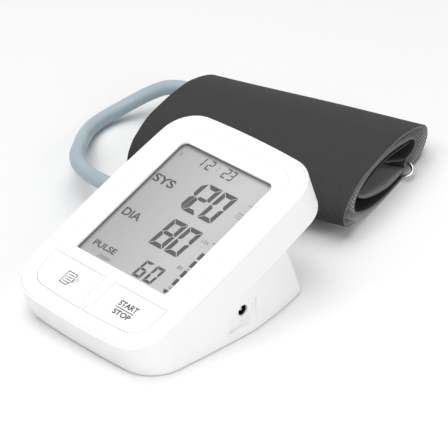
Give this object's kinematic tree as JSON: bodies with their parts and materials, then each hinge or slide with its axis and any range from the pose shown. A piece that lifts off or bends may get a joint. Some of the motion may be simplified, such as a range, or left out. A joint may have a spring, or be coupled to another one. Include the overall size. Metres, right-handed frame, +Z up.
{
  "type": "upper arm blood pressure monitor",
  "caption": "Desk blood pressure monitor with a tilted segment display and press keys, joined by an air hose to a folded fabric arm cuff with a metal bar.",
  "frame": {"origin": "on the table, under the middle of the desk unit", "axes": "+X to the unit's right as its user sees it, +Y to its back, +Z up"},
  "size_m": [0.2186, 0.279, 0.0722],
  "materials": {
    "white_shell": "fine satin",
    "white_key": "fine satin",
    "white_gloss": "gloss",
    "clear_pane": "clear",
    "display_grey": "grey liquid crystal with dark segments",
    "green_board": "satin",
    "black_plastic": "matte",
    "pale_plastic": "satin",
    "aluminium": "satin",
    "steel": "plated",
    "motor_steel": "plated",
    "cell_case": "wrapped",
    "pale_rubber": "translucent silicone",
    "grey_rubber": "matte",
    "dark_foam": "foam",
    "hose_grey": "satin",
    "hose_grey_plastic": "satin",
    "cuff_fabric": "woven nylon",
    "bladder_rubber": "matte",
    "bright_bar": "polished"
  },
  "bodies": {
    "unit": {"main_housing": "white_shell", "front_panel": "white_shell", "display_bezel": "white_gloss", "window_pane": "clear_pane", "display_cell": "display_grey", "display_holder": "white_shell", "contact_strips": "pale_rubber", "main_board": "green_board", "board_screws": "steel", "memory_switch": "black_plastic", "start_switch": "black_plastic", "controller_chip": "black_plastic", "capacitors": "aluminium", "pressure_sensor": "black_plastic", "buzzer": "black_plastic", "bottom_cover": "white_shell", "battery_1": "cell_case", "battery_2": "cell_case", "battery_3": "cell_case", "battery_4": "cell_case", "contact_plates": "steel", "contact_springs": "steel", "rubber_feet": "grey_rubber", "cover_screws": "steel", "dc_jack": "black_plastic", "dc_jack_pin": "steel", "air_socket": "pale_plastic", "pump_head": "black_plastic", "pump_motor": "motor_steel", "pump_pad": "dark_foam", "release_valve": "motor_steel", "air_manifold": "pale_plastic", "pump_tube": "pale_rubber", "valve_tube": "pale_rubber", "socket_tube": "pale_rubber", "sensor_tube": "pale_rubber"},
    "memory_key": {"memory_key": "white_key", "memory_plunger": "white_shell"},
    "start_key": {"start_key": "white_key", "start_plunger": "white_shell"},
    "battery_door": {"battery_door": "white_shell"},
    "cuff_set": {"hose_plug": "hose_grey_plastic", "air_hose": "hose_grey", "cuff_port": "hose_grey_plastic", "cuff_shell": "cuff_fabric", "cuff_lining": "cuff_fabric", "air_bladder": "bladder_rubber", "guard_flap": "cuff_fabric", "metal_bar": "bright_bar", "hook_tape": "cuff_fabric"}
  },
  "joints": [
    {"name": "memory_key_press", "type": "slide", "parent": "unit", "child": "memory_key", "axis": [0, 0.3907, -0.9205], "range_m": [0, 0.0005], "stiffness_N_per_m": 1500, "springref_m": -0.0003},
    {"name": "start_key_press", "type": "slide", "parent": "unit", "child": "start_key", "axis": [0, 0.3907, -0.9205], "range_m": [0, 0.0005], "stiffness_N_per_m": 1500, "springref_m": -0.0003},
    {"name": "battery_door_slide", "type": "slide", "parent": "unit", "child": "battery_door", "axis": [0, 1, 0], "range_m": [0, 0.014]},
    {"name": "hose_plug_pull", "type": "slide", "parent": "unit", "child": "cuff_set", "axis": [-1, 0, 0], "range_m": [0, 0.012]}
  ]
}
